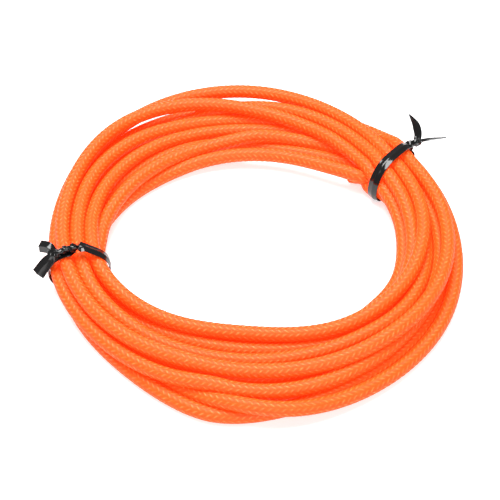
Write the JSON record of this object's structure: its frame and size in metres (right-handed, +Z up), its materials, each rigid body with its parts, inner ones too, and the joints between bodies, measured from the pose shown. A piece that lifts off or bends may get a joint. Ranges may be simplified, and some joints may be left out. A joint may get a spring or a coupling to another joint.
{
  "type": "braided cable sleeve",
  "caption": "Loose coil of thin braided expandable cable sleeve, an open-ended tube, gathered by two twist ties.",
  "frame": {"origin": "on the floor, under the middle of the whole object's box", "axes": "+Z up along the coil's axis, -Y towards the front of the coil, +X towards the right"},
  "size_m": [0.1274, 0.1282, 0.0166],
  "materials": {
    "sleeve_braid": "bright orange polyester monofilament braid, satin, slightly see-through at its gaps",
    "tie_plastic": "glossy black thin plastic over a wire"
  },
  "bodies": {
    "root": {"sleeve": "sleeve_braid", "twist_tie_left": "tie_plastic", "twist_tie_right": "tie_plastic"}
  },
  "joints": []
}
